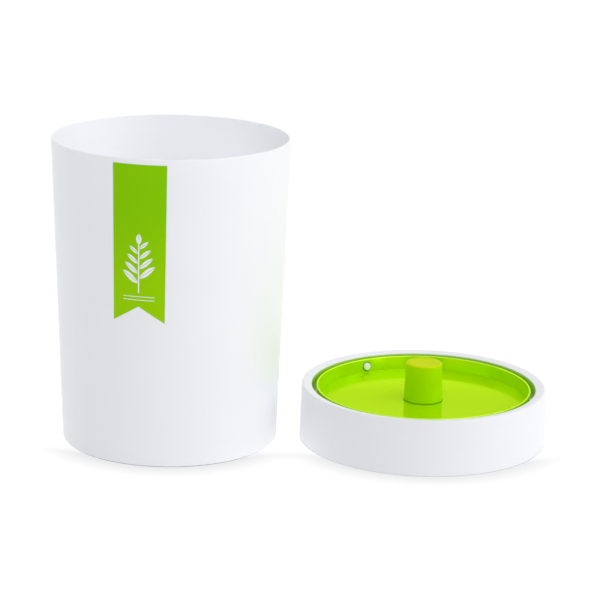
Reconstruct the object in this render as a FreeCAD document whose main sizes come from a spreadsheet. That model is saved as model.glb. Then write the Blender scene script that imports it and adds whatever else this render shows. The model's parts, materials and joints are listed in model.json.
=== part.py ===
import FreeCAD, Part
import os
import Sketcher

# A round kitchen waste bin. The bin stands with its base centre at the origin, +Z up.
# Its swing lid is taken off and stands on the same surface, at the bin's +X side.

# Driving sizes in millimetres, angles in degrees. Names that end in share are ratios.
SIZES = {
    # Bin body
    "bin_height": 240.4,
    "rim_radius": 92.5,
    "base_radius": 84.6,
    "bin_wall": 1.8,
    "bin_floor": 2.4,
    "foot_height": 2.2,
    "foot_width": 3.6,
    "base_edge_radius": 1.5,
    "floor_corner_radius": 6.0,
    "gate_radius": 4.0,
    "gate_depth": 0.6,
    "edge_round_share": 0.45,
    "foot_round_share": 0.3,
    "match_share": 0.0005,
    # Label
    "label_width": 40.6,
    "label_height": 120.5,
    "label_margin": 3.9,
    "label_notch": 11.0,
    "label_film": 0.2,
    "label_bond": 0.2,
    "label_tip": 0.6,
    "label_heading": -101.9,
    # Lid ring
    "lid_height": 44.3,
    "lid_wall": 2.0,
    "rim_room": 2.0,
    "skirt_draft": 1.3,
    "flange_depth": 3.6,
    "crown_fall": 2.4,
    "shoulder_radius": 1.6,
    "lip_round": 0.8,
    "plug_depth": 14.0,
    "plug_wall": 1.6,
    "plug_clearance": 0.3,
    "plug_lead": 0.7,
    "guide_ribs": 12,
    "guide_rib": 1.4,
    "guide_depth": 9.0,
    "guide_lead": 1.6,
    "guide_fit": 0.5,
    "lid_gap": 10.8,
    "lid_stagger": 3.4,
    # Pivot
    "pivot_heading": 121.5,
    "pivot_share": 0.541,
    "pivot_count": 2,
    "half_turn": 180,
    "pin_radius": 3.0,
    "pin_stand": 1.8,
    "pin_end_round": 0.7,
    "pin_running_fit": 0.08,
    "pin_seat_fit": 0.02,
    "pin_tip_inset": 0.3,
    "pin_relief": 0.6,
    "pin_relief_depth": 0.7,
    "boss_radius": 4.6,
    "boss_room": 0.4,
    # Swing dish
    "dish_gap": 3.1,
    "dish_rim_drop": 2.4,
    "dish_depth": 10.9,
    "dish_wall": 1.6,
    "dish_floor": 2.0,
    "dish_draft": 1.2,
    "dish_corner_radius": 1.2,
    # Knob and its screw
    "knob_height": 30.6,
    "knob_base_radius": 15.4,
    "knob_top_radius": 14.3,
    "knob_wall": 2.0,
    "knob_top": 2.6,
    "knob_hollow": 0.5,
    "knob_edge_radius": 1.4,
    "knob_land": 0.9,
    "knob_boss_radius": 4.0,
    "knob_rib": 1.4,
    "knob_ribs": 4,
    "spigot_height": 1.2,
    "spigot_wall": 1.2,
    "spigot_fit": 0.15,
    "screw_radius": 1.5,
    "screw_length": 12.0,
    "screw_head_radius": 3.2,
    "screw_head_height": 2.2,
    "screw_head_round": 0.9,
    "screw_thread_fit": 0.05,
    "screw_hole_room": 0.3,
    "screw_tip_room": 3.0,
    # Overrun of every cut, and bite of every added pad into its wall
    "overrun": 1.0,
    "bite": 0.4,
}

# Sizes that follow from the driving ones
FITS = {
    "bin_taper": "(Sizes.rim_radius - Sizes.base_radius) / Sizes.bin_height",
    "bin_floor_level": "Sizes.foot_height + Sizes.bin_floor",
    "bin_floor_radius": "Sizes.base_radius - Sizes.bin_wall + bin_taper * bin_floor_level",
    "label_top": "Sizes.bin_height - Sizes.label_margin",
    "label_foot": "label_top - Sizes.label_height",
    "label_top_radius": "Sizes.base_radius + bin_taper * label_top + Sizes.label_bond",
    "label_foot_radius": "Sizes.base_radius + bin_taper * label_foot + Sizes.label_bond",
    "label_span": "2 * Sizes.label_width / (label_top_radius + label_foot_radius) * 180 / pi",
    "label_half_notch": "label_foot_radius * sin(label_span / 2) - Sizes.label_tip",
    "label_notch_run": "label_half_notch / Sizes.label_notch",
    "skirt_inner_top": "Sizes.rim_radius + Sizes.rim_room",
    "skirt_top_radius": "skirt_inner_top + Sizes.lid_wall",
    "skirt_base_radius": "skirt_top_radius + Sizes.skirt_draft",
    "lid_seat": "Sizes.lid_height - Sizes.flange_depth",
    "lid_lip": "Sizes.lid_height - Sizes.crown_fall",
    "plug_foot": "lid_seat - Sizes.plug_depth",
    "plug_radius": "Sizes.rim_radius - Sizes.bin_wall - Sizes.plug_clearance",
    "plug_foot_radius": "plug_radius - bin_taper * Sizes.plug_depth",
    "lip_radius": "plug_radius - Sizes.plug_wall",
    "plug_inner_foot": "plug_foot_radius - Sizes.plug_wall",
    "guide_radius": "Sizes.rim_radius + Sizes.guide_fit",
    "guide_foot": "lid_seat - Sizes.guide_depth",
    "guide_root": "skirt_inner_top + Sizes.skirt_draft * Sizes.guide_depth / lid_seat + Sizes.bite",
    "lid_x": "max(Sizes.rim_radius; Sizes.base_radius) + skirt_base_radius + Sizes.lid_gap",
    "dish_radius": "min(lip_radius; plug_inner_foot) - Sizes.dish_gap",
    "dish_rim": "Sizes.lid_height - Sizes.dish_rim_drop",
    "dish_tray": "dish_rim - Sizes.dish_depth",
    "dish_under": "dish_tray - Sizes.dish_floor",
    "dish_inner_radius": "dish_radius - Sizes.dish_wall",
    "pivot_drop": "Sizes.dish_depth * Sizes.pivot_share",
    "pivot_level": "dish_rim - pivot_drop",
    "dish_slope": "Sizes.dish_draft / Sizes.dish_depth",
    "dish_pivot_radius": "dish_inner_radius - dish_slope * pivot_drop",
    "pin_face": "dish_pivot_radius - Sizes.pin_stand",
    "pin_relief_reach": "dish_pivot_radius + Sizes.pin_relief_depth",
    "pin_tip": "min(plug_radius; plug_foot_radius) - Sizes.pin_tip_inset",
    "boss_face": "dish_radius + Sizes.boss_room",
    "plug_slope": "(lip_radius - plug_inner_foot) / (lid_lip - plug_foot)",
    "boss_seat": "plug_inner_foot + plug_slope * (pivot_level - plug_foot)",
    "boss_length": "boss_seat + abs(plug_slope) * Sizes.boss_radius + Sizes.bite - boss_face",
    "boss_bore_length": "max(plug_radius; plug_foot_radius) - boss_face + 2 * Sizes.overrun",
    "knob_inner_base": "Sizes.knob_base_radius - Sizes.knob_wall",
    "knob_inner_top": "Sizes.knob_top_radius - Sizes.knob_wall",
    "knob_ceiling": "Sizes.knob_height - Sizes.knob_top",
    "knob_bore_radius": "Sizes.screw_radius + Sizes.screw_thread_fit",
    "knob_bore_depth": "Sizes.screw_length - Sizes.dish_floor + Sizes.screw_tip_room",
    "knob_crown_radius": "Sizes.knob_top_radius - Sizes.knob_edge_radius - Sizes.knob_land",
    "knob_hollow_radius": "(knob_crown_radius ^ 2 + Sizes.knob_hollow ^ 2) / (2 * Sizes.knob_hollow)",
    "knob_rib_foot": "Sizes.spigot_height + Sizes.bite",
    "spigot_radius": "knob_inner_base - Sizes.spigot_fit",
    "screw_hole_radius": "Sizes.screw_radius + Sizes.screw_hole_room",
    "screw_foot": "dish_under - Sizes.screw_head_height",
}


def fill_sheet(sheet, rows, as_formula):
    """Write one named row per size: the name in column A, the value or formula in column B."""
    for number, (name, content) in enumerate(rows.items(), start=1):
        cell = f"B{number}"
        sheet.set(f"A{number}", name)
        sheet.set(cell, f"={content}" if as_formula else str(content))
        sheet.setAlias(cell, name)


doc = FreeCAD.newDocument("WasteBin")
sizes = doc.addObject("Spreadsheet::Sheet", "Sizes")
fill_sheet(sizes, SIZES, as_formula=False)
doc.recompute()
fits = doc.addObject("Spreadsheet::Sheet", "Fits")
fill_sheet(fits, FITS, as_formula=True)
doc.recompute()


def value(expression):
    """The present value of an expression in the sheets' names."""
    return float(fits.evalExpression(expression))


UP = FreeCAD.Vector(0, 0, 1)
FULL_TURN = 360
# Two edges are the same ring when they lie this close together
MATCH = value("Sizes.bin_wall * Sizes.match_share")


def origin_feature(body, role):
    """One of the body's own base planes or axes."""
    return next(item for item in body.Origin.OriginFeatures if item.Role == role)


def new_body(label):
    """An empty body with the sub-part's name."""
    body = doc.addObject("PartDesign::Body", label)
    body.Label = label
    return body


def new_sketch(body, name, role, offset=None):
    """A sketch on one of the body's base planes, or parallel to it at an offset."""
    sketch = body.newObject("Sketcher::SketchObject", name)
    sketch.AttachmentSupport = [(origin_feature(body, role), "")]
    sketch.MapMode = "FlatFace"
    if offset:
        sketch.setExpression("AttachmentOffset.Base.z", offset)
    return sketch


def bind(sketch, constraint, name, expression):
    """Add a named dimension that follows an expression."""
    index = sketch.addConstraint(constraint)
    sketch.renameConstraint(index, name)
    sketch.setExpression(f"Constraints.{name}", expression)


def place_point(sketch, curve, end, point, name):
    """Fix one end of a curve at the two expressions of a point, on an axis where one is zero."""
    for kind, axis, expression in (("DistanceX", -2, point[0]), ("DistanceY", -1, point[1])):
        if expression == "0":
            sketch.addConstraint(Sketcher.Constraint("PointOnObject", curve, end, axis))
            continue
        amount = value(expression)
        if amount < 0:
            rule = Sketcher.Constraint(kind, curve, end, -1, 1, -amount)
            bind(sketch, rule, f"{name}{kind[-1]}", f"-({expression})")
        else:
            rule = Sketcher.Constraint(kind, -1, 1, curve, end, amount)
            bind(sketch, rule, f"{name}{kind[-1]}", expression)


def draw_outline(sketch, points):
    """Draw a closed outline of straight lines through points given as pairs of expressions."""
    places = [FreeCAD.Vector(value(across), value(up), 0) for across, up in points]
    count = len(points)
    for index in range(count):
        sketch.addGeometry(Part.LineSegment(places[index], places[(index + 1) % count]))
    for index in range(count):
        following = (index + 1) % count
        sketch.addConstraint(Sketcher.Constraint("Coincident", index, 2, following, 1))
    for index, point in enumerate(points):
        place_point(sketch, index, 1, point, f"p{index}")


def draw_circle(sketch, height, radius):
    """Draw a circle on the sketch's vertical axis."""
    centre = FreeCAD.Vector(0, value(height), 0)
    circle = Part.Circle(centre, FreeCAD.Vector(0, 0, 1), value(radius))
    sketch.addGeometry(circle)
    place_point(sketch, 0, 3, ("0", height), "centre")
    bind(sketch, Sketcher.Constraint("Radius", 0, value(radius)), "radius", radius)


def revolve(body, name, sketch, axis="V_Axis", angle=None):
    """Turn a sketch about its own axis: a full turn, or a span centred on the sketch."""
    turn = body.newObject("PartDesign::Revolution", name)
    turn.Profile = sketch
    turn.ReferenceAxis = (sketch, [axis])
    turn.Angle = FULL_TURN
    if angle:
        turn.Midplane = True
        turn.setExpression("Angle", angle)
    doc.recompute()
    return turn


def turned(body, name, points, axis="V_Axis"):
    """A solid of revolution from an outline in the XZ plane."""
    sketch = new_sketch(body, f"{name}_profile", "XZ_Plane")
    draw_outline(sketch, points)
    return revolve(body, name, sketch, axis)


def ring_edges(feature, rings):
    """Names of the feature's circular edges at the given pairs of radius and height."""
    wanted = [(value(radius), value(height)) for radius, height in rings]
    names = []
    for number, edge in enumerate(feature.Shape.Edges, start=1):
        if not isinstance(edge.Curve, Part.Circle):
            continue
        ring = (edge.Curve.Radius, edge.Curve.Center.z)
        if any(abs(ring[0] - r) + abs(ring[1] - z) < MATCH for r, z in wanted):
            names.append(f"Edge{number}")
    if len(names) != len(wanted):
        raise RuntimeError(f"{feature.Name}: {len(names)} of {len(wanted)} rings found")
    return names


def round_rings(body, name, feature, rings, radius):
    """Fillet circular edges of the body's last feature."""
    fillet = body.newObject("PartDesign::Fillet", name)
    fillet.Base = (feature, ring_edges(feature, rings))
    fillet.setExpression("Radius", radius)
    doc.recompute()
    return fillet


def chamfer_rings(body, name, feature, rings, size):
    """Chamfer circular edges of the body's last feature."""
    chamfer = body.newObject("PartDesign::Chamfer", name)
    chamfer.Base = (feature, ring_edges(feature, rings))
    chamfer.setExpression("Size", size)
    doc.recompute()
    return chamfer


def pad(body, name, sketch, length, both_ways=False):
    """Add material along the sketch's normal, or evenly to both sides of it."""
    block = body.newObject("PartDesign::Pad", name)
    block.Profile = sketch
    block.setExpression("Length", length)
    if both_ways:
        block.SideType = "Symmetric"
    doc.recompute()
    return block


def pocket(body, name, sketch, length=None, both_ways=False):
    """Cut along the sketch's normal, or to both sides of it, and see that it cuts."""
    before = body.Tip.Shape.Volume
    cut = body.newObject("PartDesign::Pocket", name)
    cut.Profile = sketch
    if both_ways:
        cut.SideType = "Symmetric"
    else:
        cut.Reversed = True
    if length:
        cut.setExpression("Length", length)
    else:
        cut.Type = "ThroughAll"
    doc.recompute()
    if not cut.Shape.Volume < before:
        raise RuntimeError(f"{name} cuts nothing")
    return cut


def repeat_round(body, name, features, count):
    """Repeat features evenly about the body's own Z axis."""
    pattern = body.newObject("PartDesign::PolarPattern", name)
    pattern.Originals = features
    pattern.Axis = (origin_feature(body, "Z_Axis"), [""])
    pattern.Angle = FULL_TURN
    pattern.setExpression("Occurrences", count)
    body.Tip = pattern
    doc.recompute()
    return pattern


def place(body, across=None, along=None, up=None, heading=None):
    """Stand a finished body at its place, turned about the vertical."""
    body.Placement = FreeCAD.Placement()
    for path, expression in (("Base.x", across), ("Base.y", along), ("Base.z", up)):
        if expression:
            body.setExpression(f"Placement.{path}", expression)
    if heading:
        body.Placement.Rotation = FreeCAD.Rotation(UP, value(heading))
        body.setExpression("Placement.Rotation.Angle", heading)


def make_bin_body():
    """Tapered bucket with a thin rounded rim, a standing ring and a recessed underside."""
    body = new_body("bin_body")
    shell = turned(body, "bin_shell", [
        ("0", "Sizes.foot_height + Sizes.gate_depth"),
        ("Sizes.gate_radius", "Sizes.foot_height + Sizes.gate_depth"),
        ("Sizes.gate_radius", "Sizes.foot_height"),
        ("Sizes.base_radius - Sizes.foot_width", "Sizes.foot_height"),
        ("Sizes.base_radius - Sizes.foot_width", "0"),
        ("Sizes.base_radius", "0"),
        ("Sizes.rim_radius", "Sizes.bin_height"),
        ("Sizes.rim_radius - Sizes.bin_wall", "Sizes.bin_height"),
        ("Fits.bin_floor_radius", "Fits.bin_floor_level"),
        ("0", "Fits.bin_floor_level"),
    ])
    corner = round_rings(body, "floor_corner", shell, [
        ("Fits.bin_floor_radius", "Fits.bin_floor_level"),
    ], "Sizes.floor_corner_radius")
    foot = round_rings(body, "base_edge", corner, [
        ("Sizes.base_radius", "0"),
    ], "Sizes.base_edge_radius")
    round_rings(body, "rim_edge", foot, [
        ("Sizes.rim_radius", "Sizes.bin_height"),
        ("Sizes.rim_radius - Sizes.bin_wall", "Sizes.bin_height"),
    ], "Sizes.bin_wall * Sizes.edge_round_share")
    return body


def make_label():
    """Swallow-tail film bonded to the front of the tapered wall."""
    body = new_body("label")
    sketch = new_sketch(body, "label_profile", "XZ_Plane")
    draw_outline(sketch, [
        ("Fits.label_foot_radius", "Fits.label_foot"),
        ("Fits.label_foot_radius + Sizes.label_film", "Fits.label_foot"),
        ("Fits.label_top_radius + Sizes.label_film", "Fits.label_top"),
        ("Fits.label_top_radius", "Fits.label_top"),
    ])
    revolve(body, "label_film", sketch, angle="Fits.label_span")
    notch = new_sketch(body, "label_notch_profile", "YZ_Plane")
    notch_reach = "Fits.label_half_notch + Fits.label_notch_run * Sizes.overrun"
    draw_outline(notch, [
        ("0", "Fits.label_foot + Sizes.label_notch"),
        (f"-({notch_reach})", "Fits.label_foot - Sizes.overrun"),
        (notch_reach, "Fits.label_foot - Sizes.overrun"),
    ])
    pocket(body, "label_notch", notch)
    place(body, heading="Sizes.label_heading")
    return body


def make_lid_ring():
    """U-section ring: drafted skirt with guide ribs, crowned flange, and a plug with pivot bosses."""
    body = new_body("lid_ring")
    section = turned(body, "lid_section", [
        ("Fits.skirt_base_radius", "0"),
        ("Fits.skirt_top_radius", "Sizes.lid_height"),
        ("Fits.lip_radius", "Fits.lid_lip"),
        ("Fits.plug_inner_foot", "Fits.plug_foot"),
        ("Fits.plug_foot_radius", "Fits.plug_foot"),
        ("Fits.plug_radius", "Fits.lid_seat"),
        ("Fits.skirt_inner_top", "Fits.lid_seat"),
        ("Fits.skirt_base_radius - Sizes.lid_wall", "0"),
    ])
    shoulder = round_rings(body, "lid_shoulder", section, [
        ("Fits.skirt_top_radius", "Sizes.lid_height"),
    ], "Sizes.shoulder_radius")
    lip = round_rings(body, "lid_lip", shoulder, [
        ("Fits.lip_radius", "Fits.lid_lip"),
    ], "Sizes.lip_round")
    foot = round_rings(body, "skirt_foot", lip, [
        ("Fits.skirt_base_radius", "0"),
    ], "Sizes.lid_wall * Sizes.foot_round_share")
    chamfer_rings(body, "plug_lead", foot, [
        ("Fits.plug_foot_radius", "Fits.plug_foot"),
    ], "Sizes.plug_lead")
    guide_outline = new_sketch(body, "guide_outline", "XZ_Plane")
    draw_outline(guide_outline, [
        ("Fits.guide_radius", "Fits.lid_seat + Sizes.bite"),
        ("Fits.guide_radius", "Fits.guide_foot + Sizes.guide_lead"),
        ("Fits.guide_root", "Fits.guide_foot"),
        ("Fits.guide_root", "Fits.lid_seat + Sizes.bite"),
    ])
    guide = pad(body, "guide_rib", guide_outline, "Sizes.guide_rib", both_ways=True)
    repeat_round(body, "guide_rib_set", [guide], "Sizes.guide_ribs")
    boss_outline = new_sketch(body, "boss_outline", "YZ_Plane", "Fits.boss_face")
    draw_circle(boss_outline, "Fits.pivot_level", "Sizes.boss_radius")
    boss = pad(body, "pivot_boss", boss_outline, "Fits.boss_length")
    bore_outline = new_sketch(body, "bore_outline", "YZ_Plane", "Fits.boss_face - Sizes.overrun")
    draw_circle(bore_outline, "Fits.pivot_level", "Sizes.pin_radius + Sizes.pin_seat_fit")
    bore = pocket(body, "pivot_bore", bore_outline, "Fits.boss_bore_length")
    repeat_round(body, "pivot_pair", [boss, bore], "Sizes.pivot_count")
    place(body, "Fits.lid_x", "Sizes.lid_stagger", heading="Sizes.pivot_heading")
    return body


def make_pivot_pin(label, heading):
    """Plain pin on its own X axis: a rounded end inside the dish, the shank through to the plug."""
    body = new_body(label)
    pin = turned(body, f"{label}_shank", [
        ("Fits.pin_face", "0"),
        ("Fits.pin_face", "Sizes.pin_radius"),
        ("Fits.pin_tip", "Sizes.pin_radius"),
        ("Fits.pin_tip", "0"),
    ], axis="H_Axis")
    face = value("Fits.pin_face")
    end_edges = [
        f"Edge{number}"
        for number, edge in enumerate(pin.Shape.Edges, start=1)
        if isinstance(edge.Curve, Part.Circle) and abs(edge.Curve.Center.x - face) < MATCH
    ]
    dome = body.newObject("PartDesign::Fillet", f"{label}_dome")
    dome.Base = (pin, end_edges)
    dome.setExpression("Radius", "Sizes.pin_end_round")
    doc.recompute()
    place(body, "Fits.lid_x", "Sizes.lid_stagger", "Fits.pivot_level", heading)
    return body


def make_swing_dish():
    """Shallow drafted dish with a rounded rim, relieved pin holes, and a spigot that centres the knob."""
    body = new_body("swing_dish")
    floor_radius = "Fits.dish_radius - Sizes.dish_draft"
    dish = turned(body, "dish_shell", [
        ("Fits.screw_hole_radius", "Fits.dish_under"),
        (floor_radius, "Fits.dish_under"),
        ("Fits.dish_radius", "Fits.dish_rim"),
        ("Fits.dish_inner_radius", "Fits.dish_rim"),
        (f"{floor_radius} - Sizes.dish_wall", "Fits.dish_tray"),
        ("Fits.spigot_radius", "Fits.dish_tray"),
        ("Fits.spigot_radius", "Fits.dish_tray + Sizes.spigot_height"),
        ("Fits.spigot_radius - Sizes.spigot_wall", "Fits.dish_tray + Sizes.spigot_height"),
        ("Fits.spigot_radius - Sizes.spigot_wall", "Fits.dish_tray"),
        ("Fits.screw_hole_radius", "Fits.dish_tray"),
    ])
    inside = round_rings(body, "dish_corner", dish, [
        (f"{floor_radius} - Sizes.dish_wall", "Fits.dish_tray"),
    ], "Sizes.dish_corner_radius")
    outside = round_rings(body, "dish_base_edge", inside, [
        (floor_radius, "Fits.dish_under"),
    ], "Sizes.dish_corner_radius + Sizes.dish_wall")
    round_rings(body, "dish_rim_edge", outside, [
        ("Fits.dish_radius", "Fits.dish_rim"),
        ("Fits.dish_inner_radius", "Fits.dish_rim"),
    ], "Sizes.dish_wall * Sizes.edge_round_share")
    hole_outline = new_sketch(body, "pin_hole_outline", "YZ_Plane")
    draw_circle(hole_outline, "Fits.pivot_level", "Sizes.pin_radius + Sizes.pin_running_fit")
    pocket(body, "pin_holes", hole_outline, both_ways=True)
    relief_outline = new_sketch(body, "pin_relief_outline", "YZ_Plane")
    draw_circle(relief_outline, "Fits.pivot_level", "Sizes.pin_radius + Sizes.pin_relief")
    pocket(body, "pin_reliefs", relief_outline, "2 * Fits.pin_relief_reach", both_ways=True)
    place(body, "Fits.lid_x", "Sizes.lid_stagger", heading="Sizes.pivot_heading")
    return body


def make_knob():
    """Hollow tapered knob with a dished top, a screw boss and stiffening ribs."""
    body = new_body("knob")
    shell = turned(body, "knob_shell", [
        ("Sizes.knob_base_radius", "0"),
        ("Sizes.knob_top_radius", "Sizes.knob_height"),
        ("0", "Sizes.knob_height"),
        ("0", "Fits.knob_bore_depth"),
        ("Fits.knob_bore_radius", "Fits.knob_bore_depth"),
        ("Fits.knob_bore_radius", "0"),
        ("Sizes.knob_boss_radius", "0"),
        ("Sizes.knob_boss_radius", "Fits.knob_ceiling"),
        ("Fits.knob_inner_top", "Fits.knob_ceiling"),
        ("Fits.knob_inner_base", "0"),
    ])
    round_rings(body, "knob_edge", shell, [
        ("Sizes.knob_top_radius", "Sizes.knob_height"),
    ], "Sizes.knob_edge_radius")
    hollow = body.newObject("PartDesign::SubtractiveSphere", "knob_hollow")
    hollow.setExpression("Radius", "Fits.knob_hollow_radius")
    hollow.setExpression("Placement.Base.z",
                         "Sizes.knob_height - Sizes.knob_hollow + Fits.knob_hollow_radius")
    doc.recompute()
    rib_outline = new_sketch(body, "rib_outline", "XZ_Plane")
    rib_reach = "max(Fits.knob_inner_base; Fits.knob_inner_top) + Sizes.bite"
    draw_outline(rib_outline, [
        ("Sizes.knob_boss_radius - Sizes.bite", "Fits.knob_rib_foot"),
        (rib_reach, "Fits.knob_rib_foot"),
        (rib_reach, "Fits.knob_ceiling + Sizes.bite"),
        ("Sizes.knob_boss_radius - Sizes.bite", "Fits.knob_ceiling + Sizes.bite"),
    ])
    rib = pad(body, "knob_rib", rib_outline, "Sizes.knob_rib", both_ways=True)
    repeat_round(body, "knob_rib_set", [rib], "Sizes.knob_ribs")
    place(body, "Fits.lid_x", "Sizes.lid_stagger", "Fits.dish_tray", "Sizes.pivot_heading")
    return body


def make_knob_screw():
    """Pan-head screw up through the dish's floor into the knob's boss."""
    body = new_body("knob_screw")
    screw = turned(body, "screw_shank", [
        ("0", "0"),
        ("Sizes.screw_head_radius", "0"),
        ("Sizes.screw_head_radius", "Sizes.screw_head_height"),
        ("Sizes.screw_radius", "Sizes.screw_head_height"),
        ("Sizes.screw_radius", "Sizes.screw_head_height + Sizes.screw_length"),
        ("0", "Sizes.screw_head_height + Sizes.screw_length"),
    ])
    round_rings(body, "screw_dome", screw, [
        ("Sizes.screw_head_radius", "0"),
    ], "Sizes.screw_head_round")
    place(body, "Fits.lid_x", "Sizes.lid_stagger", "Fits.screw_foot")
    return body


def check_document(bodies):
    """Stop before anything is written if a feature failed or a shape is unsound."""
    failed = [item.Name for item in doc.Objects if {"Invalid", "Error"} & set(item.State)]
    if failed:
        raise RuntimeError(f"failed features: {failed}")
    for body in bodies:
        shape = body.Shape
        if shape.isNull() or not shape.isValid() or len(shape.Solids) != 1:
            raise RuntimeError(f"{body.Label} is not one sound solid")


sub_parts = [
    make_bin_body(),
    make_label(),
    make_lid_ring(),
    make_pivot_pin("pivot_pin_rear", "Sizes.pivot_heading"),
    make_pivot_pin("pivot_pin_front", "Sizes.pivot_heading + Sizes.half_turn"),
    make_swing_dish(),
    make_knob(),
    make_knob_screw(),
]
doc.recompute()
check_document(sub_parts)
os.makedirs("parts", exist_ok=True)
for sub_part in sub_parts:
    sub_part.Shape.exportStep(f"parts/{sub_part.Label}.step")
    box = sub_part.Shape.optimalBoundingBox(False)
    print(f"{sub_part.Label}: {sub_part.Shape.Volume:.1f} mm3, {box.XLength:.2f} x {box.YLength:.2f} x"
          f" {box.ZLength:.2f} mm from z {box.ZMin:.2f}")
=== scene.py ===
"""Looks of a round kitchen waste bin whose swing lid stands beside it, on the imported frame."""
import json
import logging
import math
from dataclasses import dataclass
from enum import Enum

import bmesh
import bpy
from mathutils import Matrix, Vector


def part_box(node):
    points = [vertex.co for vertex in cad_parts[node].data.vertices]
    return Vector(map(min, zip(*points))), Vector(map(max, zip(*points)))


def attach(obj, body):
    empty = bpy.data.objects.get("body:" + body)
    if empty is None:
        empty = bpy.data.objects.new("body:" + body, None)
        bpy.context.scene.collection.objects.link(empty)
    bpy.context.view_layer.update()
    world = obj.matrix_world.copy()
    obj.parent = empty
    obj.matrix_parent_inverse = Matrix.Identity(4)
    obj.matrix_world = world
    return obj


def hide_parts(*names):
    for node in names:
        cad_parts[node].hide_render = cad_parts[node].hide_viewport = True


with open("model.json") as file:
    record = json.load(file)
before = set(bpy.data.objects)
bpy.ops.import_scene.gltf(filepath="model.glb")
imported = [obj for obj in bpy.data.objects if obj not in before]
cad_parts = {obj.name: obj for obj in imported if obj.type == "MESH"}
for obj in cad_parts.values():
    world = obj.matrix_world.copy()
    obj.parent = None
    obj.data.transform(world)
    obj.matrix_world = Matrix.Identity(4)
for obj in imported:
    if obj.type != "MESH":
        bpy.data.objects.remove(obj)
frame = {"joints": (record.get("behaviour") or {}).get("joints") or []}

LOG = logging.getLogger("waste_bin")
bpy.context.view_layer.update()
MM = 0.001
FULL_TURN = 2 * math.pi
LEVEL_TILT = math.radians(90)
SHARP_ANGLE = math.radians(32)
MERGE_REACH = 0.001 * MM
CUT_REACH = 0.0001 * MM
SMOOTH_DETAIL = 1.0
USUAL_DETAIL = 2.0
FINE_DETAIL = 6.0

Colour = tuple[float, float, float, float]
Limits = tuple[float, float]
Stretch = tuple[float, float, float]

BIN_WHITE: Colour = (0.866, 0.874, 0.904, 1.0)
BIN_PALE: Colour = (0.851, 0.86, 0.891, 1.0)
LID_WHITE: Colour = (0.85, 0.86, 0.892, 1.0)
LID_PALE: Colour = (0.835, 0.846, 0.88, 1.0)
# Painted shade of the narrow gap between ring and dish, tinted with the dish's green bounce.
LID_GAP_SHADE: Colour = (0.33, 0.64, 0.0, 1.0)
PIN_WHITE: Colour = (0.95, 0.955, 0.97, 1.0)
LABEL_INK: Colour = (0.3, 0.62, 0.0, 1.0)
LABEL_INK_SHADE: Colour = (0.235, 0.575, 0.0, 1.0)
LABEL_BARE: Colour = (0.86, 0.86, 0.9, 1.0)
DISH_GREEN: Colour = (0.464, 0.815, 0.0, 1.0)
DISH_SHADE: Colour = (0.444, 0.795, 0.0, 1.0)
DISH_TINT: Colour = (1.0, 1.0, 0.02, 1.0)
# Painted highlight on the dish's rim.
DISH_RIM_HIGHLIGHT: Colour = (0.62, 0.95, 0.06, 1.0)
KNOB_GREEN: Colour = (0.425, 0.77, 0.0, 1.0)
KNOB_SHADE: Colour = (0.405, 0.75, 0.0, 1.0)
KNOB_TINT: Colour = (1.0, 0.85, 0.0, 1.0)
# Painted highlight on the knob's top.
KNOB_TOP_HIGHLIGHT: Colour = (0.6, 0.74, 0.0, 1.0)


class Body(Enum):
    """Bodies of the frame that the pieces ride on."""

    BIN = "bin"
    LID = "lid"
    DISH = "dish"


class Slot(Enum):
    """Material slots of the record."""

    BIN = "bin_white"
    LABEL = "label_film"
    LID = "lid_white"
    PIN = "pin_white"
    DISH = "dish_green"
    KNOB = "knob_green"
    SCREW = "screw_steel"


class Grain(Enum):
    """Directions in which a moulded surface keeps its faint marks."""

    DRAWN = (1.0, 1.0, 0.02)
    EVEN = (1.0, 1.0, 1.0)


class PivotEnd(Enum):
    """Ends of the pivot line, each with its sign along the hinge's axis."""

    REAR = 1.0
    FRONT = -1.0


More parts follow.
